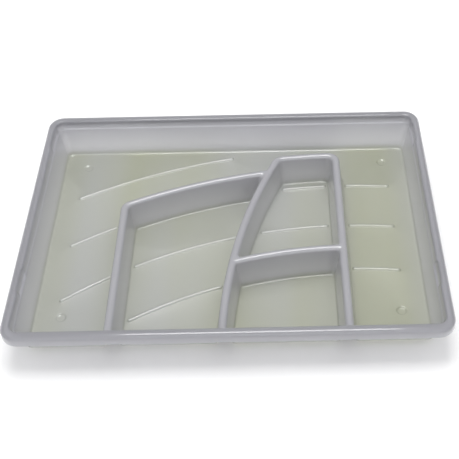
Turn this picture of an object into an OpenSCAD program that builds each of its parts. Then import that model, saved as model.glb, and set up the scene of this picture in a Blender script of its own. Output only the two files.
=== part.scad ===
// Shallow divided tray, moulded in one piece from frosted translucent plastic.
// The walls, rim, dividers, beads, lugs and feet are regions of one skin; each region is a node of
// its own, closed, and meets its neighbours face to face.
// Frame: origin on the standing surface under the middle of the rim, +X to the right,
// +Y to the back, +Z up. Millimetres.

/* [Tray] */
// Overall width over the rim, left to right
tray_w = 400; // [390:2:420]
// Overall depth over the rim, front to back
tray_d = 300; // [296:2:310]
// Overall height, standing surface to rim top
tray_h = 45; // [43:1:52]
// Thickness of the moulded skin
skin = 2; // [1.6:0.1:2.4]
// Plan radius of the rim's outer corners
corner_r = 16; // [14:1:20]

/* [Walls and rim] */
// Width of the flat rim, from the wall's inner edge to the outside
rim_w = 9; // [8:0.5:10]
// Height of the turned-down skirt, rim included
skirt_h = 10; // [8:1:14]
// How far the side and back walls lean in from rim to floor
side_lean = 6.5; // [5:0.5:8]
// How far the front wall leans in from rim to floor
front_lean = 14; // [10:1:16]

/* [Dividers] */
// Height of the dividers above the floor
divider_h = 32; // [26:1:34]
// Radius of the rounded divider top
divider_top_r = 4; // [3.5:0.5:5]
// Draft of the divider faces, in degrees
divider_draft = 8; // [5:1:10]
// Distance between the left and right dividers, ridge to ridge
island_w = 215; // [205:5:225]
// Radius of the bowed slanting divider
slant_r = 566; // [540:2:590]
// Where the slanting divider's ridge is nearest the left, from the tray's middle
slant_x = -6; // [-12:1:0]

/* [Floor sweeps] */
// Sideways place of the common centre of the floor's arcs
sweep_x = 115; // [105:5:125]
// Distance of that centre in front of the tray's middle
sweep_y = 450; // [440:5:460]
// Radius of the foremost floor bead
sweep_r = 409; // [405:1:412]
// Step in radius from one floor bead to the next
sweep_step = 58.5; // [56:0.5:60]
// Width of a floor bead
bead_w = 4.5; // [3.5:0.5:6]
// Height of a floor bead
bead_h = 1.5; // [1:0.1:2]
// Sideways place of the back bead's open end
back_bead_x = -4; // [-20:1:10]
// How far the curved divider stands in front of the third bead's line
curved_in = 3; // [0:1:4]
// How far the upper cell's divider stands behind the curved divider's line
upper_out = 19; // [17:1:21]
// How far the cross divider stands behind the foremost bead's line
cross_out = 2; // [0:1:3]

/* [Lugs and feet] */
// Length of a stacking lug along the side wall
lug_l = 29; // [20:1:34]
// Height of a stacking lug below the rim
lug_h = 12; // [9:1:16]
// How far a stacking lug stands out of the wall
lug_out = 1.5; // [1:0.1:1.6]
// Diameter of a foot
foot_d = 13; // [11:1:16]
// Height of a foot below the floor
foot_h = 1; // [0.8:0.1:1.5]
// Distance of the feet from the tray's middle, sideways
foot_x = 160; // [150:1:165]
// Distance of the back feet from the tray's back edge
foot_back_in = 38; // [34:1:44]
// Distance of the front feet from the tray's front edge
foot_front_in = 56; // [50:1:62]
// Distance of the back lugs' middle from the tray's back edge
lug_back_in = 36; // [34:1:42]
// Distance of the front lugs' middle from the tray's front edge
lug_front_in = 70; // [60:1:80]

/* [Hidden] */

clear_skin = "#c4c8c4";
skin_alpha = 0.7;
$fn = 48;
arc_fn = 720;

floor_z = foot_h + skin;
depth = tray_h - floor_z;
opening_r = corner_r - rim_w;
opening_x = tray_w / 2 - rim_w;
opening_y = tray_d / 2 - rim_w;
far = 2 * tray_w;
// Reach of the wedges that part the walls, of the cut where two dividers cross, and the rough
// place from which that crossing is worked out
wedge = 80;
crossing = 60;
first_guess = 20;

// Dividers: the faces run tangent into the round top
ridge_y = divider_h - divider_top_r;
divider_x = island_w / 2;
base_half = divider_top_r / cos(divider_draft) + ridge_y * tan(divider_draft);
hollow_half = base_half - skin / cos(divider_draft);
slant_cx = slant_x + slant_r;
slant_cy = -tray_d / 2;
curved_r = sweep_r + 2 * sweep_step - curved_in;
cross_r = sweep_r + cross_out;
upper_r = curved_r + upper_out;

// Beads: the profile is a shallow cap of a circle
bead_r = (bead_w * bead_w / 4 + bead_h * bead_h) / (2 * bead_h);
bead_end = foot_x + bead_w / 2;
// A bead stops where its nearer edge reaches a divider's foot
bead_stop = base_half + bead_w / 2;

feet_y = [tray_d / 2 - foot_back_in, foot_front_in - tray_d / 2];
lugs_y = [tray_d / 2 - lug_back_in, lug_front_in - tray_d / 2];

function bead_radius(step) = sweep_r + step * sweep_step;
// Where an arc about the floor's common centre crosses the line x
function sweep_at(r, x) = sqrt(r * r - (x - sweep_x) * (x - sweep_x)) - sweep_y;
// Angle of that crossing, seen from the common centre
function sweep_angle(r, x) = acos((x - sweep_x) / r);
// Angle, seen from the slanting ridge's own centre, at which that ridge passes y, and its x there
function slant_angle(y) = 180 - asin((y - slant_cy) / slant_r);
function slant_at(y) = slant_cx - sqrt(slant_r * slant_r - (y - slant_cy) * (y - slant_cy));

// Where an arc of the floor's family meets the slanting ridge: three rounds settle the place
function slant_meet(r, x = first_guess, rounds = 3) =
  rounds == 0 ? x : slant_meet(r, slant_at(sweep_at(r, x)), rounds - 1);

slant_end_x = slant_meet(upper_r);
slant_end_y = sweep_at(upper_r, slant_end_x);
curved_end_x = slant_meet(curved_r);
curved_end_y = sweep_at(curved_r, curved_end_x);
cross_end_x = slant_meet(cross_r);
cross_end_y = sweep_at(cross_r, cross_end_x);
corner_left_y = sweep_at(curved_r, -divider_x);
corner_right_y = sweep_at(upper_r, divider_x);

// Headings of the planes that mitre the island's three corners, halfway between the two runs
mitre_reach = 12;
left_mitre = sweep_angle(curved_r, -divider_x) / 2;
slant_mitre = (slant_angle(slant_end_y) + sweep_angle(upper_r, slant_end_x)) / 2 - 90;
right_mitre = sweep_angle(upper_r, divider_x) / 2 - 90;

// ---- outlines and forms -------------------------------------------------------------------

module rounded_box_2d(x0, x1, y0, y1, r) {
  translate([x0 + r, y0]) square([x1 - x0 - 2 * r, y1 - y0]);
  translate([x0, y0 + r]) square([x1 - x0, y1 - y0 - 2 * r]);
  for (x = [x0 + r, x1 - r], y = [y0 + r, y1 - r]) translate([x, y]) circle(r);
}

// Plan of the tray's inside at height z, grown outwards by g
module inside_2d(z, g = 0) {
  lean = (tray_h - z) / depth;
  x = opening_x - side_lean * lean + g;
  rounded_box_2d(-x, x, front_lean * lean - opening_y - g, opening_y - side_lean * lean + g,
    opening_r + g);
}

// Leaning body between two heights
module leaning_form(z0, z1, g) {
  hull() {
    translate([0, 0, z0]) linear_extrude(0.01) inside_2d(z0, g);
    translate([0, 0, z1 - 0.01]) linear_extrude(0.01) inside_2d(z1, g);
  }
}

module wall_ring() {
  difference() {
    leaning_form(foot_h, tray_h - skin, skin);
    leaning_form(floor_z, tray_h + 0.01, 0);
    linear_extrude(floor_z + 0.01) inside_2d(floor_z);
  }
}

// Plan wedge that holds one side wall, mitred at the corners; side is -1 on the left and 1 on the right
module side_wedge(side) {
  x = opening_x - opening_r - side_lean / 2;
  y = opening_y - opening_r - side_lean;
  linear_extrude(tray_h)
    polygon([[side * x, -y], [side * (x + wedge), -y - wedge], [side * (x + wedge), y + wedge],
      [side * x, y]]);
}

// ---- dividers -----------------------------------------------------------------------------

// Cross-section with a round top; inset makes the hollow inside it, which runs down past the floor
module divider_profile(inset = 0) {
  r = divider_top_r - inset;
  rise = ridge_y + r * sin(divider_draft);
  top = r * cos(divider_draft);
  base = base_half - inset / cos(divider_draft);
  translate([0, ridge_y]) circle(r);
  polygon([[-base, 0], [base, 0], [top, rise], [-top, rise]]);
  if (inset > 0) translate([-base, -floor_z]) square([2 * base, floor_z + 0.01]);
}

module straight_run(x, y0, y1, inset) {
  translate([x, y1, floor_z]) rotate([90, 0, 0]) linear_extrude(y1 - y0) divider_profile(inset);
}

module arc_run(cx, cy, r, a0, a1, inset) {
  translate([cx, cy, floor_z])
    rotate([0, 0, a0])
      rotate_extrude(angle = a1 - a0, $fn = arc_fn) translate([r, 0]) divider_profile(inset);
}

// An arc about the floor's common centre, between two places given by x
module sweep_run(r, x0, x1, inset) {
  arc_run(sweep_x, -sweep_y, r, sweep_angle(r, x1), sweep_angle(r, x0), inset);
}

module slanting_run(y0, y1, inset) {
  arc_run(slant_cx, slant_cy, slant_r, slant_angle(y1), slant_angle(y0), inset);
}

// Space that a divider passing through a place takes up there, with its faces run straight up
module core_block(x, y, heading, length) {
  z0 = -1;
  z1 = divider_h + 1;
  w0 = base_half - z0 * tan(divider_draft);
  w1 = base_half - z1 * tan(divider_draft);
  translate([x, y, floor_z])
    rotate([0, 0, heading])
      translate([-length / 2, 0, 0])
        rotate([90, 0, 90])
          linear_extrude(length) polygon([[-w0, z0], [w0, z0], [w1, z1], [-w1, z1]]);
}

// Everything ahead of an upright plane through a place, used to mitre two dividers
module ahead_of(x, y, heading) {
  translate([x, y, -1]) rotate([0, 0, heading]) translate([0, -far / 2, 0]) cube([far, far, far]);
}

// All that lies in front of the front wall's inner face
module front_block() {
  translate([-far / 2, front_lean - opening_y, floor_z])
    rotate([atan(front_lean / depth), 0, 0])
      translate([0, -100, -tray_h]) cube([far, 100, 4 * tray_h]);
}

module left_divider() {
  color(clear_skin, skin_alpha) difference() {
    straight_run(-divider_x, -tray_d / 2, corner_left_y + mitre_reach, 0);
    straight_run(-divider_x, -tray_d / 2 - 1, corner_left_y + mitre_reach + 1, skin);
    front_block();
    ahead_of(-divider_x, corner_left_y, left_mitre);
  }
}

module right_divider() {
  color(clear_skin, skin_alpha) difference() {
    straight_run(divider_x, -tray_d / 2, corner_right_y + mitre_reach, 0);
    straight_run(divider_x, -tray_d / 2 - 1, corner_right_y + mitre_reach + 1, skin);
    front_block();
    ahead_of(divider_x, corner_right_y, right_mitre + 180);
  }
}

module slanting_divider() {
  color(clear_skin, skin_alpha) difference() {
    slanting_run(-tray_d / 2, slant_end_y + mitre_reach, 0);
    slanting_run(-tray_d / 2 - 1, slant_end_y + mitre_reach + 1, skin);
    front_block();
    ahead_of(slant_end_x, slant_end_y, slant_mitre);
  }
}

module curved_divider() {
  color(clear_skin, skin_alpha) difference() {
    sweep_run(curved_r, -divider_x - mitre_reach, curved_end_x, 0);
    sweep_run(curved_r, -divider_x - mitre_reach - 1, curved_end_x + 1, skin);
    ahead_of(-divider_x, corner_left_y, left_mitre + 180);
    core_block(curved_end_x, curved_end_y, slant_angle(curved_end_y) - 90, crossing);
  }
}

module upper_cell_divider() {
  color(clear_skin, skin_alpha) difference() {
    sweep_run(upper_r, slant_end_x - mitre_reach, divider_x + mitre_reach, 0);
    sweep_run(upper_r, slant_end_x - mitre_reach - 1, divider_x + mitre_reach + 1, skin);
    ahead_of(slant_end_x, slant_end_y, slant_mitre + 180);
    ahead_of(divider_x, corner_right_y, right_mitre);
  }
}

module cross_divider() {
  color(clear_skin, skin_alpha) difference() {
    sweep_run(cross_r, cross_end_x, divider_x, 0);
    sweep_run(cross_r, cross_end_x - 1, divider_x + 1, skin);
    core_block(cross_end_x, cross_end_y, slant_angle(cross_end_y) - 90, crossing);
    core_block(divider_x, sweep_at(cross_r, divider_x), 90, crossing);
  }
}

// ---- floor, walls and rim -----------------------------------------------------------------

module slot_arc_2d(cx, cy, r, a0, a1, w) {
  intersection() {
    translate([cx, cy]) difference() {
      circle(r + w / 2);
      circle(r - w / 2);
    }
    translate([cx, cy]) polygon([[0, 0], for (a = [a0, a1]) [far * 2 * cos(a), far * 2 * sin(a)]]);
  }
}

// Plan of the slots in the floor under the hollow dividers
module slots_2d() {
  w = 2 * hollow_half;
  y0 = front_lean - opening_y + skin;
  for (x = [-divider_x, divider_x]) {
    y1 = x < 0 ? corner_left_y : corner_right_y;
    translate([x - w / 2, y0]) square([w, y1 - y0]);
  }
  slot_arc_2d(slant_cx, slant_cy, slant_r, slant_angle(slant_end_y), slant_angle(y0), w);
  slot_arc_2d(sweep_x, -sweep_y, curved_r, sweep_angle(curved_r, curved_end_x),
    sweep_angle(curved_r, -divider_x), w);
  slot_arc_2d(sweep_x, -sweep_y, upper_r, sweep_angle(upper_r, divider_x),
    sweep_angle(upper_r, slant_end_x), w);
  slot_arc_2d(sweep_x, -sweep_y, cross_r, sweep_angle(cross_r, divider_x),
    sweep_angle(cross_r, cross_end_x), w);
}

module floor_panel() {
  color(clear_skin, skin_alpha)
    translate([0, 0, foot_h])
      linear_extrude(skin)
        difference() {
          inside_2d(floor_z);
          slots_2d();
          for (x = [-foot_x, foot_x], y = feet_y) translate([x, y]) circle(d = foot_d);
        }
}

module front_wall() {
  color(clear_skin, skin_alpha) difference() {
    wall_ring();
    translate([-far / 2, 0, -1]) cube([far, far, far]);
    side_wedge(-1);
    side_wedge(1);
  }
}

module back_wall() {
  color(clear_skin, skin_alpha) difference() {
    wall_ring();
    translate([-far / 2, -far, -1]) cube([far, far, far]);
    side_wedge(-1);
    side_wedge(1);
  }
}

// Pocket that a stacking lug makes in the wall's inner face, grown by g to the outside
module lug_form(side, y, g) {
  reach = opening_x - side_lean * lug_h / depth + lug_out + g;
  x0 = side > 0 ? 0 : -reach;
  translate([x0, y - lug_l / 2 - g, tray_h - skin - lug_h - g])
    cube([reach, lug_l + 2 * g, lug_h + g]);
}

module side_wall(side) {
  color(clear_skin, skin_alpha) difference() {
    intersection() {
      wall_ring();
      side_wedge(side);
    }
    for (y = lugs_y) lug_form(side, y, skin);
  }
}

module left_wall() {
  side_wall(-1);
}

module right_wall() {
  side_wall(1);
}

module rim_flange() {
  color(clear_skin, skin_alpha)
    translate([0, 0, tray_h - skin])
      linear_extrude(skin)
        difference() {
          rounded_box_2d(-tray_w / 2, tray_w / 2, -tray_d / 2, tray_d / 2, corner_r);
          rounded_box_2d(-opening_x, opening_x, -opening_y, opening_y, opening_r);
        }
}

module rim_skirt() {
  x = tray_w / 2 - skin;
  y = tray_d / 2 - skin;
  color(clear_skin, skin_alpha)
    translate([0, 0, tray_h - skirt_h])
      linear_extrude(skirt_h - skin)
        difference() {
          rounded_box_2d(-tray_w / 2, tray_w / 2, -tray_d / 2, tray_d / 2, corner_r);
          rounded_box_2d(-x, x, -y, y, corner_r - skin);
        }
}

// ---- beads, lugs and feet -----------------------------------------------------------------

module bead_profile() {
  intersection() {
    translate([0, bead_h - bead_r]) circle(bead_r);
    translate([-bead_w, 0]) square([2 * bead_w, bead_w]);
  }
}

// One bead between two places given by x
module bead(step, x0, x1) {
  r = bead_radius(step);
  color(clear_skin, skin_alpha)
    translate([sweep_x, -sweep_y, floor_z])
      rotate([0, 0, sweep_angle(r, x1)])
        rotate_extrude(angle = sweep_angle(r, x0) - sweep_angle(r, x1), $fn = arc_fn)
          translate([r, 0]) bead_profile();
}

module bead_back() {
  bead(3, -bead_end, back_bead_x);
}

module bead_left_upper() {
  bead(2, -bead_end, -divider_x - bead_stop);
}

module bead_left_middle() {
  bead(1, -bead_end, -divider_x - bead_stop);
}

module bead_left_cell_middle() {
  bead(1, -divider_x + bead_stop, slant_meet(bead_radius(1)) - bead_stop);
}

module bead_left_cell_front() {
  bead(0, -divider_x + bead_stop, slant_meet(bead_radius(0)) - bead_stop);
}

module bead_upper_cell_back() {
  bead(2, slant_meet(bead_radius(2)) + bead_stop, divider_x - bead_stop);
}

module bead_upper_cell_middle() {
  bead(1, slant_meet(bead_radius(1)) + bead_stop, divider_x - bead_stop);
}

module bead_right_upper() {
  bead(2, divider_x + bead_stop, bead_end);
}

module bead_right_middle() {
  bead(1, divider_x + bead_stop, bead_end);
}

module bead_right_front() {
  bead(0, divider_x + bead_stop, bead_end);
}

// A lug is a shallow hollow box that bulges out of the wall just under the rim
module lug(side, y) {
  color(clear_skin, skin_alpha) difference() {
    intersection() {
      lug_form(side, y, skin);
      translate([0, 0, foot_h]) cube([far, far, 2 * (tray_h - skin - foot_h)], center = true);
    }
    lug_form(side, y, 0);
    leaning_form(floor_z, tray_h + 0.01, 0);
  }
}

module lug_left_back() {
  lug(-1, lugs_y[0]);
}

module lug_left_front() {
  lug(-1, lugs_y[1]);
}

module lug_right_back() {
  lug(1, lugs_y[0]);
}

module lug_right_front() {
  lug(1, lugs_y[1]);
}

// A foot is a shallow dish pressed down out of the floor
module foot(x, y) {
  color(clear_skin, skin_alpha)
    translate([x, y, 0])
      difference() {
        cylinder(h = floor_z, d = foot_d);
        translate([0, 0, skin]) cylinder(h = floor_z, d = foot_d - 2 * skin);
      }
}

module foot_left_back() {
  foot(-foot_x, feet_y[0]);
}

module foot_left_front() {
  foot(-foot_x, feet_y[1]);
}

module foot_right_back() {
  foot(foot_x, feet_y[0]);
}

module foot_right_front() {
  foot(foot_x, feet_y[1]);
}

floor_panel();
front_wall();
back_wall();
left_wall();
right_wall();
rim_flange();
rim_skirt();
left_divider();
right_divider();
slanting_divider();
curved_divider();
upper_cell_divider();
cross_divider();
bead_back();
bead_left_upper();
bead_left_middle();
bead_left_cell_middle();
bead_left_cell_front();
bead_upper_cell_back();
bead_upper_cell_middle();
bead_right_upper();
bead_right_middle();
bead_right_front();
lug_left_back();
lug_left_front();
lug_right_back();
lug_right_front();
foot_left_back();
foot_left_front();
foot_right_back();
foot_right_front();
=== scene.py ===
# %% [markdown]
# # A frosted organiser tray, moulded in one piece
#
# The real object is one sheet of frosted plastic, about 2 mm thick. A warm sheet or melt is pressed
# over a mould, so every wall leans a little, every corner is rounded and every divider is hollow
# from below. Nothing is joined on.
#
# Blender could make it from boxes with a bevel, but boxes that meet leave seams, and seams show in
# a see-through plastic. So the upper face is drawn here as one net of points, from the floor up the
# walls, over the dividers and out over the rim, and Solidify then gives it the thickness.
#
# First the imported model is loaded. It stays a fixed frame, and all places come from it.

# %% Load the frame
import bpy
import bmesh
import math
import numpy as np
from mathutils import Matrix, Vector
from mathutils.geometry import delaunay_2d_cdt


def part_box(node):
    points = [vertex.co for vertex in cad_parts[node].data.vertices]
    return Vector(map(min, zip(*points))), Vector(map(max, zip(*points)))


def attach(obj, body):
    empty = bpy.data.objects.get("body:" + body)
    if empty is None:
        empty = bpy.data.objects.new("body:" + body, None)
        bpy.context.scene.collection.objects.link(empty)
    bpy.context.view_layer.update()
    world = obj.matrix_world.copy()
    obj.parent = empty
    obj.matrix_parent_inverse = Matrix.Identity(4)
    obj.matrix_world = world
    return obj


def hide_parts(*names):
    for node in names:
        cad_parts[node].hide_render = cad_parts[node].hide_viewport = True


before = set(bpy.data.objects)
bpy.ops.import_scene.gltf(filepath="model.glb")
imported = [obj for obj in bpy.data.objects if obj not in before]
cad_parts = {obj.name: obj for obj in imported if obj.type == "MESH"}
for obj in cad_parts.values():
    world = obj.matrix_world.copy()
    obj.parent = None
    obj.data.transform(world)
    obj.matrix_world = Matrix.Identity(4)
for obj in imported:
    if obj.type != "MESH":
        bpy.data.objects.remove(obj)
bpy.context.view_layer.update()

MM = 0.001

# %% [markdown]
# ## Sizes
#
# The outline, heights and divider places are read from the frame's boxes. What a box can't say is
# named here once: the radii of the bowed dividers, the draft of the faces and the blends. The mesh
# is worked out in millimetres and scaled to metres at the end.

# %% Read the sizes from the frame
def box_mm(node):
    low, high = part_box(node)
    return [v / MM for v in low], [v / MM for v in high]


rim_low, rim_high = box_mm("rim_flange")
skirt_low, skirt_high = box_mm("rim_skirt")
floor_low, floor_high = box_mm("floor_panel")
left_low, left_high = box_mm("left_divider")
right_low, right_high = box_mm("right_divider")

HALF_W, HALF_D, RIM_Z = rim_high[0], rim_high[1], rim_high[2]
SKIRT_Z = skirt_low[2]
FLOOR_Z = floor_high[2]
SKIN = FLOOR_Z - floor_low[2]
RIDGE_Z = left_high[2]
RIM_W = 9.0
CORNER_R = 7.0
OPEN_X, OPEN_Y = HALF_W - RIM_W, HALF_D - RIM_W
SIDE_LEAN = OPEN_X - floor_high[0]
FRONT_LEAN = OPEN_Y + floor_low[1]
LEFT_X = (left_low[0] + left_high[0]) / 2
RIGHT_X = (right_low[0] + right_high[0]) / 2
print("skin", round(SKIN, 2), "side lean", round(SIDE_LEAN, 2), "front lean", round(FRONT_LEAN, 2))
print("dividers at x", round(LEFT_X, 2), round(RIGHT_X, 2), "ridge at z", round(RIDGE_Z, 2))

# The bowed dividers and the floor beads follow circles about two centres
SWEEP_C = (115.0, -450.0)
SLANT_C = (560.0, -HALF_D)
SLANT_R = 566.0
FIRST_BEAD_R = 409.0
BEAD_PITCH = 58.5
BEAD_R = [FIRST_BEAD_R + BEAD_PITCH * i for i in range(4)]
CROSS_R = BEAD_R[0] + 2
CURVED_R = BEAD_R[2] - 3
UPPER_R = CURVED_R + 19
print("bead radii", BEAD_R, "slanting", SLANT_R, "curved", CURVED_R, "upper", UPPER_R, "cross", CROSS_R)

# Rounds of a divider's ridge and foot, and of the walls' feet. The front wall has the largest.
RIDGE_R = 4.0
DRAFT = math.radians(8)
FOOT_R = 1.6
WALL_FOOT_R = 2.2
FRONT_FOOT_R = 8.0

# %% [markdown]
# ## Edges and corners
#
# Seen from above, the tray is four pockets: three closed cells and one U-shaped bay around them.
# The side of a pocket is a straight line or part of a circle, and its wall is that line moved
# inwards, more and more, on the way down. So each side only has to say how far a point lies inside
# it. Where two sides meet, the corner's round is the circle that lies equally far inside both, and
# a few steps of Newton's method find its centre.

# %% Sides of a pocket, and how two of them meet
def line(px, py, nx, ny, profile, name):
    return {"p": np.array((px, py)), "n": np.array((nx, ny)), "profile": profile, "name": name}


def circle(centre, radius, outside, profile, name):
    sign = 1.0 if outside else -1.0
    return {"c": np.array(centre), "r": radius, "sign": sign, "profile": profile, "name": name}


def depth_in(side, point):
    """How far a point lies inside a side, and the direction that goes deeper."""
    if "n" in side:
        return float((point - side["p"]) @ side["n"]), side["n"]
    away = point - side["c"]
    reach = float(np.linalg.norm(away))
    return side["sign"] * (reach - side["r"]), side["sign"] * away / reach


NEWTON_STEPS = 12


def meet(a, depth_a, b, depth_b, guess):
    """The point that lies depth_a inside a and depth_b inside b."""
    point = np.array(guess, float)
    for _ in range(NEWTON_STEPS):
        sa, ga = depth_in(a, point)
        sb, gb = depth_in(b, point)
        point = point + np.linalg.solve(np.array([ga, gb]), np.array([depth_a - sa, depth_b - sb]))
    return point


def along(side, point):
    """A point's place along a side: a length on a line, an angle on a circle."""
    if "n" in side:
        return float(point[0] * abs(side["n"][1]) + point[1] * abs(side["n"][0]))
    away = point - side["c"]
    return math.atan2(away[1], away[0]) % (2 * math.pi)


def point_on(side, g, depth):
    """The point at place g along a side, depth inside it. Lines run along x or along y."""
    if "n" in side:
        base = side["p"] + depth * side["n"]
        runs_along_x = side["n"][1] != 0
        return np.array((g, base[1])) if runs_along_x else np.array((base[0], g))
    radius = side["r"] + side["sign"] * depth
    return side["c"] + radius * np.array((math.cos(g), math.sin(g)))


opening_corner = meet(line(0, -OPEN_Y, 0, 1, "front", "front"), 0,
                      line(OPEN_X, 0, -1, 0, "side", "right"), 0, (OPEN_X, -OPEN_Y))
print("the opening's sharp corner would be at", opening_corner.round(1).tolist(), "mm")


# %% [markdown]
# ## The slope from ridge to floor
#
# Every side goes down through the same number of steps. A divider starts at its ridge, turns over
# a 4 mm round, runs down at 8 degrees of draft, and meets the floor in a tight round. A wall has its
# own lean, and the front wall leans most and has the widest round at its foot. Moulded plastic needs
# both: draft so that it leaves the mould, rounds so that the sheet doesn't thin and crack.

# %% Steps down a divider and down a wall
ROUND_STEPS, FACE_STEPS, FOOT_STEPS = 7, 4, 7


def foot_round(face, lean, radius=FOOT_R):
    """Points of the round between a leaning face and the floor."""
    start_z = FLOOR_Z + radius * (1 - math.sin(lean))
    centre = face(start_z) + radius * math.cos(lean)
    turns = np.linspace(lean, math.pi / 2, FOOT_STEPS + 1)
    return [(centre - radius * math.cos(t), FLOOR_Z + radius * (1 - math.sin(t))) for t in turns]


def divider_steps():
    """How far in and how high each step of a divider's side is, from the ridge down."""
    turns = np.linspace(0, math.pi / 2 - DRAFT, ROUND_STEPS + 1)
    steps = [(RIDGE_R * math.sin(t), RIDGE_Z - RIDGE_R * (1 - math.cos(t))) for t in turns]
    edge_d, edge_z = steps[-1]
    foot = foot_round(lambda z: edge_d + (edge_z - z) * math.tan(DRAFT), DRAFT)
    for i in range(1, FACE_STEPS):
        t = i / FACE_STEPS
        steps.append((edge_d + (foot[0][0] - edge_d) * t, edge_z + (foot[0][1] - edge_z) * t))
    return steps + foot


def wall_steps(lean_mm, radius):
    """The same for a wall, whose lean is 0 at the rim and lean_mm at the floor."""
    def face(z):
        return lean_mm * (RIM_Z - z) / (RIM_Z - FLOOR_Z)

    foot = foot_round(face, math.atan(lean_mm / (RIM_Z - FLOOR_Z)), radius)
    steps = [(face(z), z) for _, z in divider_steps()[:ROUND_STEPS + 1]]
    edge_z = steps[-1][1]
    for i in range(1, FACE_STEPS):
        z = edge_z + (foot[0][1] - edge_z) * i / FACE_STEPS
        steps.append((face(z), z))
    return steps + foot


STEPS = {"divider": divider_steps(), "side": wall_steps(SIDE_LEAN, WALL_FOOT_R),
         "front": wall_steps(FRONT_LEAN, FRONT_FOOT_R)}
LEVELS = len(STEPS["divider"])
print(LEVELS, "levels; a divider's foot is", round(2 * STEPS["divider"][-1][0], 1), "mm wide")

# %% [markdown]
# ## The four pockets
#
# Each pocket is its sides in order, with the corner that follows each of them and a first guess of
# where that corner is. A corner turns inwards, as in a room, or outwards, round the island of cells.
# The faces close in on the way down, so most inward corners get tighter and outward ones get wider.

# %% List the pockets' sides
FRONT = line(0, -OPEN_Y, 0, 1, "front", "front")
BACK = line(0, OPEN_Y, 0, -1, "side", "back")
LEFT = line(-OPEN_X, 0, 1, 0, "side", "left")
RIGHT = line(OPEN_X, 0, -1, 0, "side", "right")


def straight_divider(x, nx, name):
    return line(x, 0, nx, 0, "divider", name)


def bowed_divider(centre, radius, outside, name):
    return circle(centre, radius, outside, "divider", name)


def inward(top, foot):
    return {"top": top, "foot": foot, "turn": 1}


def outward(radius):
    return {"top": radius, "foot": radius, "turn": -1}


LEFT_OUTER = straight_divider(LEFT_X, -1, "left_divider")
LEFT_INNER = straight_divider(LEFT_X, 1, "left_divider")
RIGHT_OUTER = straight_divider(RIGHT_X, 1, "right_divider")
RIGHT_INNER = straight_divider(RIGHT_X, -1, "right_divider")
SLANT_OUTER = bowed_divider(SLANT_C, SLANT_R, True, "slanting_divider")
SLANT_INNER = bowed_divider(SLANT_C, SLANT_R, False, "slanting_divider")
CURVED_OUTER = bowed_divider(SWEEP_C, CURVED_R, True, "curved_divider")
CURVED_INNER = bowed_divider(SWEEP_C, CURVED_R, False, "curved_divider")
UPPER_OUTER = bowed_divider(SWEEP_C, UPPER_R, True, "upper_cell_divider")
UPPER_INNER = bowed_divider(SWEEP_C, UPPER_R, False, "upper_cell_divider")
CROSS_OUTER = bowed_divider(SWEEP_C, CROSS_R, True, "cross_divider")
CROSS_INNER = bowed_divider(SWEEP_C, CROSS_R, False, "cross_divider")

# Corner radii in mm at the ridge and at the floor
WALL_CORNER = inward(CORNER_R, CORNER_R - 2)
WALL_TO_DIVIDER = inward(6.0, 3.0)
TEE = inward(2.5, 3.0)
ISLAND = 8.0
ISLAND_CORNER = outward(ISLAND)
CELL_CORNER = inward(ISLAND, 3.5)

POCKETS = {
    "bay": [
        (FRONT, WALL_TO_DIVIDER, (-118, -125)),
        (LEFT_OUTER, ISLAND_CORNER, (-100, 18)),
        (CURVED_OUTER, TEE, (30, 76)),
        (SLANT_OUTER, ISLAND_CORNER, (48, 80)),
        (UPPER_OUTER, ISLAND_CORNER, (100, 84)),
        (RIGHT_OUTER, WALL_TO_DIVIDER, (118, -125)),
        (FRONT, WALL_CORNER, (180, -125)),
        (RIGHT, WALL_CORNER, (180, 130)),
        (BACK, WALL_CORNER, (-180, 130)),
        (LEFT, WALL_CORNER, (-180, -125)),
    ],
    "left_cell": [
        (FRONT, WALL_TO_DIVIDER, (-15, -125)),
        (SLANT_OUTER, TEE, (22, 52)),
        (CURVED_INNER, CELL_CORNER, (-97, 15)),
        (LEFT_INNER, WALL_TO_DIVIDER, (-97, -125)),
    ],
    "lower_cell": [
        (FRONT, WALL_TO_DIVIDER, (97, -125)),
        (RIGHT_INNER, TEE, (97, -50)),
        (CROSS_INNER, TEE, (15, -62)),
        (SLANT_INNER, WALL_TO_DIVIDER, (6, -125)),
    ],
    "upper_cell": [
        (CROSS_OUTER, TEE, (97, -30)),
        (RIGHT_INNER, CELL_CORNER, (97, 82)),
        (UPPER_INNER, CELL_CORNER, (52, 78)),
        (SLANT_INNER, TEE, (20, -38)),
    ],
}
print("sides of each pocket:", {name: len(sides) for name, sides in POCKETS.items()})

# %% [markdown]
# ## Corner rounds and shared points
#
# Two pockets share each ridge. For the skin to close without a crack, both must put their points
# at the same places along it, so the places where any pocket's corner begins are collected first
# and every pocket that shares the ridge uses them too.

# %% Corners of a pocket at one level
def corner_at(pocket, i, level):
    """Centre, radius, and the points where the round leaves side i and joins the next."""
    side, corner, guess = pocket[i]
    after = pocket[(i + 1) % len(pocket)][0]
    da = STEPS[side["profile"]][level][0]
    db = STEPS[after["profile"]][level][0]
    if corner["turn"] > 0:
        t = level / (LEVELS - 1)
        radius = corner["top"] + (corner["foot"] - corner["top"]) * t
        centre = meet(side, da + radius, after, db + radius, guess)
        leave = centre - radius * depth_in(side, centre)[1]
        join = centre - radius * depth_in(after, centre)[1]
    else:
        radius = corner["top"] + da
        centre = meet(side, -corner["top"], after, -corner["top"], guess)
        leave = centre + radius * depth_in(side, centre)[1]
        join = centre + radius * depth_in(after, centre)[1]
    return centre, radius, leave, join


marks = {}
for pocket in POCKETS.values():
    for i, (side, _, _) in enumerate(pocket):
        after = pocket[(i + 1) % len(pocket)][0]
        _, _, leave, join = corner_at(pocket, i, 0)
        marks.setdefault(side["name"], []).append(along(side, leave))
        marks.setdefault(after["name"], []).append(along(after, join))
print("corner starts on each ridge:", {k: len(v) for k, v in marks.items()})

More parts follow.
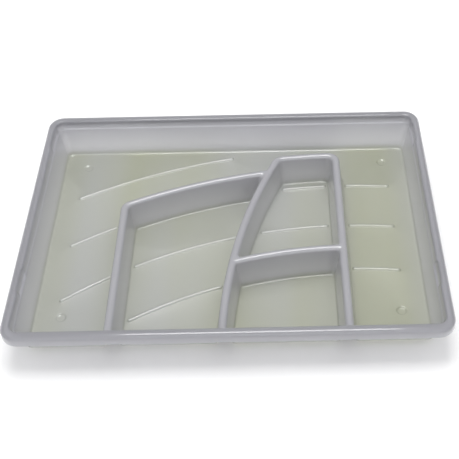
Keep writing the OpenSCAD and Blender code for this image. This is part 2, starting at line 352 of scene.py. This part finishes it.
# %% [markdown]
# ## Stacking lugs
#
# Each side wall has two shallow bulges just under the rim. They catch on the tray below in a stack
# and keep the walls from wedging. They push the wall out by less than a millimetre and fade in and
# out, so the wall needs extra points where a lug begins and ends.

# %% Lugs: where they are, and how far they push the wall out
lug_nodes = ("lug_left_back", "lug_left_front")
LUGS_Y = [(box_mm(n)[0][1] + box_mm(n)[1][1]) / 2 for n in lug_nodes]
LUG_HALF = (box_mm(lug_nodes[0])[1][1] - box_mm(lug_nodes[0])[0][1]) / 2 - SKIN
LUG_OUT = 0.9
LUG_EASE = 2.4
LUG_MARKS = 4
WALL_MARGIN = 1.0
for y in LUGS_Y:
    for end in (-1, 1):
        for ease in np.linspace(0, LUG_EASE, LUG_MARKS):
            for name in ("left", "right"):
                marks[name].append(y + end * (LUG_HALF - ease))
print("lugs:", round(2 * LUG_HALF, 1), "mm long, at y", [round(y, 1) for y in LUGS_Y])


def smooth(t):
    t = min(max(t, 0.0), 1.0)
    return t * t * (3 - 2 * t)


def lug_push(x, y, height):
    """Outward push of a wall point; height runs from 0 at the lug's foot to 1 where it is full."""
    if abs(x) < OPEN_X - SIDE_LEAN - WALL_MARGIN:
        return 0.0
    along_lug = max(smooth((LUG_HALF - abs(y - c)) / LUG_EASE) for c in LUGS_Y)
    return math.copysign(LUG_OUT * along_lug * smooth(height), x)


# %% [markdown]
# ## Loops of points
#
# A pocket at one level is one closed loop: along a side, round a corner, along the next. Every
# level has the same number of points in the same order, so neighbouring levels join with plain
# four-sided faces.

# %% Build a pocket's loops
SPACING = 4.0
LEAST_GAP = 0.4
SAME_PLACE = 1e-9
CORNER_POINTS = 8


def side_places(side, g0, g1):
    """Shares of the way along a side, from evenly spaced places and the shared marks."""
    unit = 1.0 if "n" in side else side["r"]
    grid = SPACING / unit
    low, high = min(g0, g1), max(g0, g1)
    gap = LEAST_GAP / unit
    places = [low, high]
    places += [m for m in marks[side["name"]] if low + SAME_PLACE < m < high - SAME_PLACE]
    for n in range(math.ceil(low / grid), math.floor(high / grid) + 1):
        if all(abs(n * grid - p) > gap for p in places):
            places.append(n * grid)
    shares = sorted({round((p - low) / (high - low), 9) for p in places})
    return shares if g1 > g0 else [1 - s for s in reversed(shares)]


def pocket_loops(pocket):
    """A pocket's loops from the ridge down, and the wall that each point of the first belongs to."""
    count = len(pocket)
    shares = []
    for i, (side, _, _) in enumerate(pocket):
        start = corner_at(pocket, i - 1, 0)[3]
        end = corner_at(pocket, i, 0)[2]
        shares.append(side_places(side, along(side, start), along(side, end)))
    loops, owners = [], []
    for level in range(LEVELS):
        loop = []
        corners = [corner_at(pocket, i, level) for i in range(count)]
        for i, (side, _, _) in enumerate(pocket):
            depth, z = STEPS[side["profile"]][level]
            after = pocket[(i + 1) % count][0]
            after_z = STEPS[after["profile"]][level][1]
            g0, g1 = along(side, corners[i - 1][3]), along(side, corners[i][2])
            for share in shares[i]:
                x, y = point_on(side, g0 + (g1 - g0) * share, depth)
                loop.append((x, y, z))
                if level == 0:
                    owners.append(side["name"])
            centre, radius, leave, join = corners[i]
            a0 = math.atan2(*(leave - centre)[::-1])
            turn = (math.atan2(*(join - centre)[::-1]) - a0 + math.pi) % (2 * math.pi) - math.pi
            for n in range(1, CORNER_POINTS):
                t = n / CORNER_POINTS
                a = a0 + turn * t
                loop.append((centre[0] + radius * math.cos(a), centre[1] + radius * math.sin(a),
                             z + (after_z - z) * t))
                if level == 0:
                    both_walls = side["profile"] != "divider" and after["profile"] != "divider"
                    owners.append(side["name"] if both_walls else "corner")
        loops.append(loop)
    return loops, owners


pockets = {name: pocket_loops(sides) for name, sides in POCKETS.items()}
for name, (loops, _) in pockets.items():
    print(name, len(loops[0]), "points a level")

# %% [markdown]
# ## Collect the skin in one net
#
# All faces go into one list of points, where a point that is already there is used again. That is
# what makes the pieces of surface one skin: neighbours share their points.

# %% A net that reuses its points
CELLS_PER_MM = 200


class Net:
    """Points and faces of the skin. Points in the same 0.005 mm cell count as one."""

    def __init__(self):
        self.points, self.index, self.faces = [], {}, []

    def point(self, p):
        key = tuple(round(c * CELLS_PER_MM) for c in p)
        if key not in self.index:
            self.index[key] = len(self.points)
            self.points.append(tuple(float(c) for c in p))
        return self.index[key]

    def face(self, corners):
        ids = [self.point(p) for p in corners]
        ids = [v for n, v in enumerate(ids) if v != ids[n - 1]]
        if len(set(ids)) == len(ids) and len(ids) > 2:
            self.faces.append(ids)

    def band(self, outer, inner):
        """Faces between two loops of the same count; the upper side faces up and inwards."""
        for n in range(len(outer)):
            m = (n + 1) % len(outer)
            self.face([outer[n], outer[m], inner[m], inner[n]])


net = Net()
for loops, _ in pockets.values():
    for outer, inner in zip(loops, loops[1:]):
        net.band(outer, inner)
print("walls and dividers:", len(net.faces), "faces")

# %% [markdown]
# ## The upper wall, the rim and the skirt
#
# Above the ridges the wall is one ring. Its lowest loop is made of the pockets' own wall points, and
# each higher loop is the same ring moved outwards: up the lean, over the inner edge, across the flat
# rim, round the outer edge and down the skirt.

# %% Ring of wall points at ridge height
WALLS = {"front", "left", "right", "back"}


def wall_points(name):
    loops, owners = pockets[name]
    return [p for p, owner in zip(loops[0], owners) if owner in WALLS]


bay = wall_points("bay")
split = next(n for n, p in enumerate(bay) if p[0] > RIGHT_X)
start_part, round_part = bay[:split], bay[split:]
ring = start_part + sorted(wall_points("left_cell")) + sorted(wall_points("lower_cell")) + round_part
print(len(ring), "points round the ring")


def ring_box(face_z):
    """Half extents of the box that the corner rounds are centred on, at a height of the face."""
    lean = (RIM_Z - face_z) / (RIM_Z - FLOOR_Z)
    side = SIDE_LEAN * lean
    return (OPEN_X - side - CORNER_R, -(OPEN_Y - FRONT_LEAN * lean - CORNER_R),
            OPEN_Y - side - CORNER_R)


BOX0 = ring_box(RIDGE_Z)


def ring_loop(face_z, grow, z, lug=0.0):
    """The ring at height z, grow outside the leaning face's place at face_z; lug is 0 to 1."""
    box = ring_box(face_z)
    loop = []
    for x, y, _ in ring:
        cx = min(max(x, -BOX0[0]), BOX0[0])
        cy = min(max(y, BOX0[1]), BOX0[2])
        out = np.array((x - cx, y - cy))
        out = out / np.linalg.norm(out)
        share = (cy - BOX0[1]) / (BOX0[2] - BOX0[1])
        nx = cx * box[0] / BOX0[0] + (CORNER_R + grow) * out[0]
        ny = box[1] + (box[2] - box[1]) * share + (CORNER_R + grow) * out[1]
        loop.append((nx + lug_push(x, y, lug), ny, z))
    return loop


# %% Loft the ring out to the skirt
LEDGE = 0.6
INNER_EDGE = 1.6
OUTER_EDGE = 4.0
INNER_TURNS, OUTER_TURNS = 7, 8
LUG_FADE = 0.3
FLAT_RIM, FLAT_LUG = 3.6, 0.2
# Rise above the ridges, step outwards, and share of the lug, up to a ledge all round the wall
LEDGE_STEPS = ((0.5, 0.1, 0.0), (0.9, 0.35, 0.05), (1.4, 0.55, 0.2), (2.0, LEDGE, 0.5),
               (2.7, LEDGE, 0.8), (3.6, LEDGE, 1.0), (5.5, LEDGE, 1.0))
ring_loops = [ring_loop(RIDGE_Z, 0, RIDGE_Z)]
for rise, step, lug in LEDGE_STEPS:
    ring_loops.append(ring_loop(RIDGE_Z + rise, step, RIDGE_Z + rise, lug))
for turn in np.linspace(0, math.pi / 2, INNER_TURNS):
    z = RIM_Z - INNER_EDGE * (1 - math.sin(turn))
    grow = LEDGE + INNER_EDGE * (1 - math.cos(turn))
    ring_loops.append(ring_loop(z, grow, z, 1.0 - LUG_FADE * turn))
ring_loops.append(ring_loop(RIM_Z, FLAT_RIM, RIM_Z, FLAT_LUG))
for turn in np.linspace(0, math.pi / 2, OUTER_TURNS):
    grow = RIM_W - OUTER_EDGE * (1 - math.sin(turn))
    ring_loops.append(ring_loop(RIM_Z, grow, RIM_Z - OUTER_EDGE * (1 - math.cos(turn))))
ring_loops.append(ring_loop(RIM_Z, RIM_W, (SKIRT_Z + RIM_Z - OUTER_EDGE) / 2))
ring_loops.append(ring_loop(RIM_Z, RIM_W, SKIRT_Z))
for inner, outer in zip(ring_loops, ring_loops[1:]):
    net.band(outer, inner)
print("with the rim:", len(net.faces), "faces")

# %% [markdown]
# ## Beads and feet in the floor
#
# Four low beads sweep across the floor about one common centre. They stiffen it and lift the
# contents off the flat, and they stop at each divider. A foot is a shallow dish. Each is a set of
# loops, and its outermost loop becomes part of the floor's own net, so it is pressed from the same
# sheet and not laid on top. A bead's round is never tighter than the skin is thick, or the skin's
# lower face would fold over itself.

# %% Loops of a bead and of a dish
# Half width or radius, and height over the floor, of each loop from the outermost inwards
BEAD_STEPS = ((2.7, 0.0), (2.4, 0.09), (2.1, 0.38), (1.7, 0.88), (1.15, 1.27), (0.55, 1.45))
BEAD_TOP = 1.5
BEAD_SPACING = 2.5
BEAD_END_POINTS = 8
TIP = box_mm("bead_right_front")[1][0]
BACK_TIP = -4.0
DISH_STEPS = ((5.6, 0.0), (5.1, -0.12), (4.5, -0.5), (4.0, -0.85), (3.3, -1.0))
DISH_POINTS = 32
FEET = [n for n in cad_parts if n.startswith("foot_")]
BEAD_GAP = 0.15
CLEAR = STEPS["divider"][-1][0] + BEAD_STEPS[0][0] + BEAD_GAP


def bead_loops(radius, a0, a1):
    """Stadium-shaped loops about an arc from angle a0 to a1, outermost first."""
    count = max(4, round(abs(a1 - a0) * radius / BEAD_SPACING))
    loops = []
    for half, rise in BEAD_STEPS:
        loop = []
        for end, start, stop, sign in ((a1, a0, a1, 1), (a0, a1, a0, -1)):
            for a in np.linspace(start, stop, count):
                r = radius + sign * half
                loop.append((SWEEP_C[0] + r * math.cos(a), SWEEP_C[1] + r * math.sin(a)))
            tip = np.array((SWEEP_C[0] + radius * math.cos(end), SWEEP_C[1] + radius * math.sin(end)))
            first = end + (0 if sign > 0 else math.pi)
            way = math.copysign(1, a1 - a0)
            for n in range(1, BEAD_END_POINTS):
                a = first + way * math.pi * n / BEAD_END_POINTS
                loop.append((tip[0] + half * math.cos(a), tip[1] + half * math.sin(a)))
        loops.append([(x, y, FLOOR_Z + rise) for x, y in loop])
    crest = []
    for start, stop, end in ((a0, a1, a1), (a1, a0, a0)):
        for a in np.linspace(start, stop, count):
            crest.append((SWEEP_C[0] + radius * math.cos(a), SWEEP_C[1] + radius * math.sin(a)))
        crest += [crest[-1]] * (BEAD_END_POINTS - 1)
    loops.append([(x, y, FLOOR_Z + BEAD_TOP) for x, y in crest])
    return loops


def bead_span(radius, ends):
    """Angles of a bead's ends. An end is an x on open floor, or a divider that it stops at."""
    path = circle(SWEEP_C, radius, True, "divider", "bead")
    angles = []
    for end, guess in ends:
        if isinstance(end, dict):
            point = meet(path, 0, end, CLEAR, guess)
        else:
            point = meet(path, 0, line(end, 0, 1, 0, "side", "x"), 0, guess)
        angles.append(along(path, point))
    return angles


# %% Where the beads run
# Number of the bead's circle, then each end with a first guess of where it is
BEADS = {
    "bay": [
        (3, (-TIP, (-TIP, 60)), (BACK_TIP, (-4, 118))),
        (2, (-TIP, (-TIP, 0)), (LEFT_OUTER, (-122, 20))),
        (1, (-TIP, (-TIP, -74)), (LEFT_OUTER, (-122, -45))),
        (2, (RIGHT_OUTER, (122, 76)), (TIP, (TIP, 74))),
        (1, (RIGHT_OUTER, (122, 17)), (TIP, (TIP, 15))),
        (0, (RIGHT_OUTER, (122, -41)), (TIP, (TIP, -43))),
    ],
    "left_cell": [
        (1, (LEFT_INNER, (-94, -35)), (SLANT_OUTER, (3, 4))),
        (0, (LEFT_INNER, (-94, -100)), (SLANT_OUTER, (-10, -62))),
    ],
    "lower_cell": [],
    "upper_cell": [
        (2, (SLANT_INNER, (50, 72)), (RIGHT_INNER, (94, 76))),
        (1, (SLANT_INNER, (32, 10)), (RIGHT_INNER, (94, 17))),
    ],
}
print("beads in each pocket:", {name: len(beads) for name, beads in BEADS.items()})

# %% [markdown]
# ## Fill the floors
#
# What is left of each floor is a flat region with holes for the beads and dishes. A constrained
# Delaunay triangulation fills such a region from its outlines alone, and triangles that fall in a
# hole or outside the pocket are dropped.

# %% Fill each pocket's floor
TOUCHING = 1e-5


def is_inside(points, x, y):
    """Whether a point is inside a closed outline, by counting the sides that lie to its right."""
    hit = False
    for (x0, y0, *_), (x1, y1, *_) in zip(points, points[1:] + points[:1]):
        if (y0 > y) != (y1 > y) and x < x0 + (y - y0) * (x1 - x0) / (y1 - y0):
            hit = not hit
    return hit


def fill_floor(outline, holes):
    points, edges = [], []
    for loop in [outline] + holes:
        first = len(points)
        points += [Vector((p[0], p[1])) for p in loop]
        edges += [(first + n, first + (n + 1) % len(loop)) for n in range(len(loop))]
    flat, _, faces, *_ = delaunay_2d_cdt(points, edges, [], 0, TOUCHING)
    for ids in faces:
        corners = [flat[i] for i in ids]
        mid = sum(corners, Vector((0, 0))) / 3
        if is_inside(outline, *mid) and not any(is_inside(h, *mid) for h in holes):
            area = (corners[1] - corners[0]).cross(corners[2] - corners[0])
            ordered = corners if area > 0 else corners[::-1]
            net.face([(c[0], c[1], FLOOR_Z) for c in ordered])


dish_places = [[(a + b) / 2 for a, b in zip(*box_mm(n))] for n in FEET]
for name, (loops, _) in pockets.items():
    features = []
    for step, start, stop in BEADS[name]:
        a0, a1 = bead_span(BEAD_R[step], (start, stop))
        features.append(bead_loops(BEAD_R[step], max(a0, a1), min(a0, a1)))
    if name == "bay":
        turns = np.linspace(0, 2 * math.pi, DISH_POINTS, endpoint=False)
        for cx, cy, _ in dish_places:
            features.append([[(cx + r * math.cos(t), cy + r * math.sin(t), FLOOR_Z + dz)
                              for t in turns] for r, dz in DISH_STEPS])
    for feature in features:
        for outer, inner in zip(feature, feature[1:]):
            net.band(outer, inner)
        if feature[-1][0][2] < FLOOR_Z:
            net.face(feature[-1])
    fill_floor(loops[-1], [f[0] for f in features])
print("with the floor:", len(net.faces), "faces")

# %% [markdown]
# ## From net to moulded skin
#
# The net becomes a mesh, the small flat patches where ridges meet are filled, and Solidify adds the
# thickness on the underside. It is applied at once, so that the mesh itself holds the thickness.

# %% Make the mesh
WELD_MM = 0.02
SHARP_DEGREES = 50


def make_object(name, points, faces):
    mesh = bpy.data.meshes.new(name)
    mesh.from_pydata([(x * MM, y * MM, z * MM) for x, y, z in points], [], faces)
    made = bpy.data.objects.new(name, mesh)
    bpy.context.scene.collection.objects.link(made)
    return made


tray = make_object("moulded_tray", net.points, net.faces)
bm = bmesh.new()
bm.from_mesh(tray.data)
bmesh.ops.remove_doubles(bm, verts=bm.verts, dist=WELD_MM * MM)
open_edges = [e for e in bm.edges if e.is_boundary
              and all(abs(v.co.x) < OPEN_X * MM and abs(v.co.y) < OPEN_Y * MM for v in e.verts)]
bmesh.ops.holes_fill(bm, edges=open_edges, sides=0)
bmesh.ops.recalc_face_normals(bm, faces=bm.faces)
largest = max(bm.faces, key=lambda f: f.calc_area())
if largest.normal.z < 0:
    bmesh.ops.reverse_faces(bm, faces=bm.faces)
left_open = sum(1 for e in bm.edges if e.is_boundary)
ridge_open = sum(1 for e in bm.edges if e.is_boundary and abs(e.verts[0].co.x) < OPEN_X * MM
                 and abs(e.verts[0].co.y) < OPEN_Y * MM)
odd = sum(1 for e in bm.edges if not e.is_manifold and not e.is_boundary)
print("open edges:", left_open, "of them inside the rim:", ridge_open, "odd edges:", odd)
bm.to_mesh(tray.data)
bm.free()

thick = tray.modifiers.new("skin", "SOLIDIFY")
thick.thickness = SKIN * MM
thick.offset = -1
thick.use_even_offset = True
depsgraph = bpy.context.evaluated_depsgraph_get()
tray.data = bpy.data.meshes.new_from_object(tray.evaluated_get(depsgraph))
tray.modifiers.clear()
tray.data.name = "moulded_tray"
for polygon in tray.data.polygons:
    polygon.use_smooth = True
tray.data.set_sharp_from_angle(angle=math.radians(SHARP_DEGREES))
print("skin:", len(tray.data.vertices), "points,", len(tray.data.polygons), "faces")

# %% [markdown]
# ## Frosted polypropylene
#
# The tray is clear plastic moulded against an etched steel mould. The face is smooth but scatters
# the light that goes through, so things behind it blur to a soft glow. A plain glass would be too
# clear and a plain white plastic too dead. So the shader passes a little over half of the light
# through a rough surface, and a thin smooth coat on top keeps the sharp highlights of a fresh
# moulding. Light and shade are also painted into the colour: painted light makes the walls palest
# low down, painted shade makes them greyer and faintly blue towards the rim, and the floor drifts
# slowly between cool and warm in bands, which are painted stripes of light.

# %% Colour helpers
def srgb(code):
    """A colour written in hex, as the linear values that a socket takes."""
    values = [int(code[i:i + 2], 16) / 255 for i in (1, 3, 5)]
    return [v / 12.92 if v <= 0.04045 else ((v + 0.055) / 1.055) ** 2.4 for v in values] + [1.0]


def add_node(tree, kind, settings=None, **links):
    """Add a node, set its properties or sockets by name, and link what feeds it."""
    node = tree.nodes.new(kind)
    for key, value in (settings or {}).items():
        if hasattr(node, key) and key not in node.inputs:
            setattr(node, key, value)
        else:
            node.inputs[key].default_value = value
    for key, source in links.items():
        tree.links.new(source, node.inputs[key.replace("_", " ")])
    return node


def set_stop(stop, position, code):
    stop.position = position
    stop.color = srgb(code)


print("paper white in linear values:", [round(v, 3) for v in srgb("#f4f4f4")])

# %% Material
# Injection-moulded polypropylene. The mould was etched, which gives the soft, blurred see-through
# look, and slow cooling leaves a faint orange-peel grain that only shows in the highlights.
BANDS_PER_METRE = (11.0, 1.2, 3.0)
GRAIN_MM = 3.5
FROST_DEPTH_MM = 0.1
TINT_FROM, TINT_TO = 3, 9
MIX_A, MIX_B, MIX_COLOUR = 6, 7, 2

plastic = bpy.data.materials.new("frosted_polypropylene")
plastic.use_nodes = True
tree = plastic.node_tree
tree.nodes.clear()

coords = add_node(tree, "ShaderNodeTexCoord")
# Floor colour: the grey plastic drifts in slow bands to a warm yellow-green, and these bands are
# painted stripes of light. The same noise also varies the roughness.
bands = add_node(tree, "ShaderNodeMapping", {"Scale": BANDS_PER_METRE}, Vector=coords.outputs["Object"])
drift = add_node(tree, "ShaderNodeTexNoise", {"Scale": 1.0, "Detail": 1.5}, Vector=bands.outputs[0])
floor_colour_and_light_stripes = add_node(tree, "ShaderNodeValToRGB", Fac=drift.outputs["Fac"])
set_stop(floor_colour_and_light_stripes.color_ramp.elements[0], 0.38, "#d0d2ce")
set_stop(floor_colour_and_light_stripes.color_ramp.elements[1], 0.64, "#c9ccb6")
axes = add_node(tree, "ShaderNodeSeparateXYZ", Vector=coords.outputs["Object"])
above = add_node(tree, "ShaderNodeMapRange", {"From Min": TINT_FROM * MM, "From Max": TINT_TO * MM},
                 Value=axes.outputs["Z"])
plastic_colour_and_painted_light = add_node(tree, "ShaderNodeMix", {"data_type": "RGBA"}, Factor=above.outputs[0])
tree.links.new(floor_colour_and_light_stripes.outputs["Color"], plastic_colour_and_painted_light.inputs[MIX_A])
# Wall colour: the grey plastic with painted light and shade by height. It is palest low on the walls
# and dividers, then greyer and faintly blue towards the rim.
rise = add_node(tree, "ShaderNodeMapRange", {"From Min": 0.0, "From Max": RIM_Z * MM},
                Value=axes.outputs["Z"])
wall_colour_and_painted_shade = add_node(tree, "ShaderNodeValToRGB", Fac=rise.outputs[0])
set_stop(wall_colour_and_painted_shade.color_ramp.elements[0], 0.30, "#e4e4e6")
set_stop(wall_colour_and_painted_shade.color_ramp.elements[1], 1.0, "#a2a2a8")
shoulder = wall_colour_and_painted_shade.color_ramp.elements.new(0.78)
shoulder.color = srgb("#c3c3c8")
tree.links.new(wall_colour_and_painted_shade.outputs[0], plastic_colour_and_painted_light.inputs[MIX_B])

grain = add_node(tree, "ShaderNodeTexNoise", {"Scale": 1 / (GRAIN_MM * MM), "Detail": 0.0},
                 Vector=coords.outputs["Object"])
gloss = add_node(tree, "ShaderNodeMapRange", {"To Min": 0.25, "To Max": 0.35},
                 Value=drift.outputs["Fac"])
frost = add_node(tree, "ShaderNodeBump", {"Strength": 0.10, "Distance": FROST_DEPTH_MM * MM},
                 Height=grain.outputs["Fac"])
body = add_node(tree, "ShaderNodeBsdfPrincipled", {
    "IOR": 1.49, "Transmission Weight": 0.55, "Coat Weight": 1.0, "Coat Roughness": 0.05},
    Base_Color=plastic_colour_and_painted_light.outputs[MIX_COLOUR], Roughness=gloss.outputs[0], Normal=frost.outputs[0])
add_node(tree, "ShaderNodeOutputMaterial", Surface=body.outputs[0])
tray.data.materials.clear()
tray.data.materials.append(plastic)
print("plastic: bands", round(1 / MM / BANDS_PER_METRE[0]), "mm apart, grain", GRAIN_MM, "mm")

# %% Ride on the frame
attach(tray, "root")
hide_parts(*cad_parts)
print("moulded_tray stands for", len(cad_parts), "nodes")

# %% [markdown]
# ## Stage and sky
#
# The tray stands on white paper, as small goods do in a catalogue. Paper is matt, so it gives the
# plastic something pale to show through and no second highlight. The sky is a soft grey that
# brightens upwards, like a light tent, and fills the shadows from every side.

# %% Paper and sky
PAPER_HALF = 3
paper_mesh = bpy.data.meshes.new("studio_floor")
paper_mesh.from_pydata([(-PAPER_HALF, -PAPER_HALF, 0), (PAPER_HALF, -PAPER_HALF, 0),
                        (PAPER_HALF, PAPER_HALF, 0), (-PAPER_HALF, PAPER_HALF, 0)], [], [(0, 1, 2, 3)])
studio_floor = bpy.data.objects.new("studio_floor", paper_mesh)
bpy.context.scene.collection.objects.link(studio_floor)

# Uncoated studio paper: the fibres scatter all the light that they send back, with no gloss
white = bpy.data.materials.new("pale_studio_paper")
white.use_nodes = True
white.node_tree.nodes["Principled BSDF"].inputs["Base Color"].default_value = srgb("#f4f4f4")
white.node_tree.nodes["Principled BSDF"].inputs["Roughness"].default_value = 0.9
paper_mesh.materials.append(white)

world = bpy.data.worlds.new("studio")
bpy.context.scene.world = world
world.use_nodes = True
sky = world.node_tree
sky.nodes.clear()
heading = add_node(sky, "ShaderNodeTexCoord")
height = add_node(sky, "ShaderNodeSeparateXYZ", Vector=heading.outputs["Generated"])
shade = add_node(sky, "ShaderNodeValToRGB", Fac=height.outputs["Z"])
set_stop(shade.color_ramp.elements[0], 0.0, "#f0f0f5")
set_stop(shade.color_ramp.elements[1], 0.9, "#ffffff")
glow = add_node(sky, "ShaderNodeBackground", {"Strength": 0.86}, Color=shade.outputs["Color"])
add_node(sky, "ShaderNodeOutputWorld", Surface=glow.outputs[0])
bpy.context.scene.view_settings.view_transform = "Standard"
print("paper", 2 * PAPER_HALF, "m wide; sky strength", glow.inputs["Strength"].default_value)

# %% [markdown]
# ## Lights
#
# Two softboxes are enough. The one overhead puts the long highlights on the beads and the rim, and
# the large one in front opens up the faces that turn towards the viewer.

# %% Softboxes
def area_light(name, spot, aim, size, power):
    """A square softbox at spot, in metres and watts, that faces aim."""
    lamp = bpy.data.lights.new(name, "AREA")
    lamp.size = size
    lamp.energy = power
    made = bpy.data.objects.new(name, lamp)
    made.location = spot
    made.rotation_euler = (Vector(aim) - Vector(spot)).to_track_quat("-Z", "Y").to_euler()
    bpy.context.scene.collection.objects.link(made)
    print(name, size, "m wide,", power, "W, at", spot)


area_light("overhead_softbox", (0, 0.15, 1.5), (0, 0, 0), 0.7, 11)
area_light("front_softbox", (0, -1.8, 1.1), (0, 0, 0), 2.0, 10)

# %% [markdown]
# ## Camera
#
# The view is from the front and from about 47 degrees above, where the floor, the dividers and the
# inner walls all show. The small roll and shift are those of a camera held by hand.

# %% Camera
AZIMUTH, ELEVATION, ROLL = math.radians(-0.27), math.radians(46.87), math.radians(-0.98)
LENS_MM, SENSOR_MM = 70.7, 36
SHIFT_X, SHIFT_Y = -0.112, 0.0081
CAMERA_X, CAMERA_Y, CAMERA_OVER_RIM = 0.0454, -0.6183, 0.6273
forward = Vector((-math.sin(AZIMUTH) * math.cos(ELEVATION), math.cos(AZIMUTH) * math.cos(ELEVATION),
                  -math.sin(ELEVATION)))
level_right = Vector((math.cos(AZIMUTH), math.sin(AZIMUTH), 0))
level_up = level_right.cross(forward)
right_dir = math.cos(ROLL) * level_right + math.sin(ROLL) * level_up
up_dir = -math.sin(ROLL) * level_right + math.cos(ROLL) * level_up
turned = Matrix((right_dir, up_dir, -forward)).transposed().to_4x4()
lens = bpy.data.cameras.new("camera")
lens.sensor_width = SENSOR_MM
lens.lens = LENS_MM
lens.shift_x = SHIFT_X
lens.shift_y = SHIFT_Y
camera = bpy.data.objects.new("camera", lens)
camera.matrix_world = Matrix.Translation((CAMERA_X, CAMERA_Y, CAMERA_OVER_RIM + RIM_Z * MM)) @ turned
bpy.context.scene.collection.objects.link(camera)
bpy.context.scene.camera = camera
print("camera with a", LENS_MM, "mm lens,", round(camera.matrix_world.translation.length, 2), "m away")
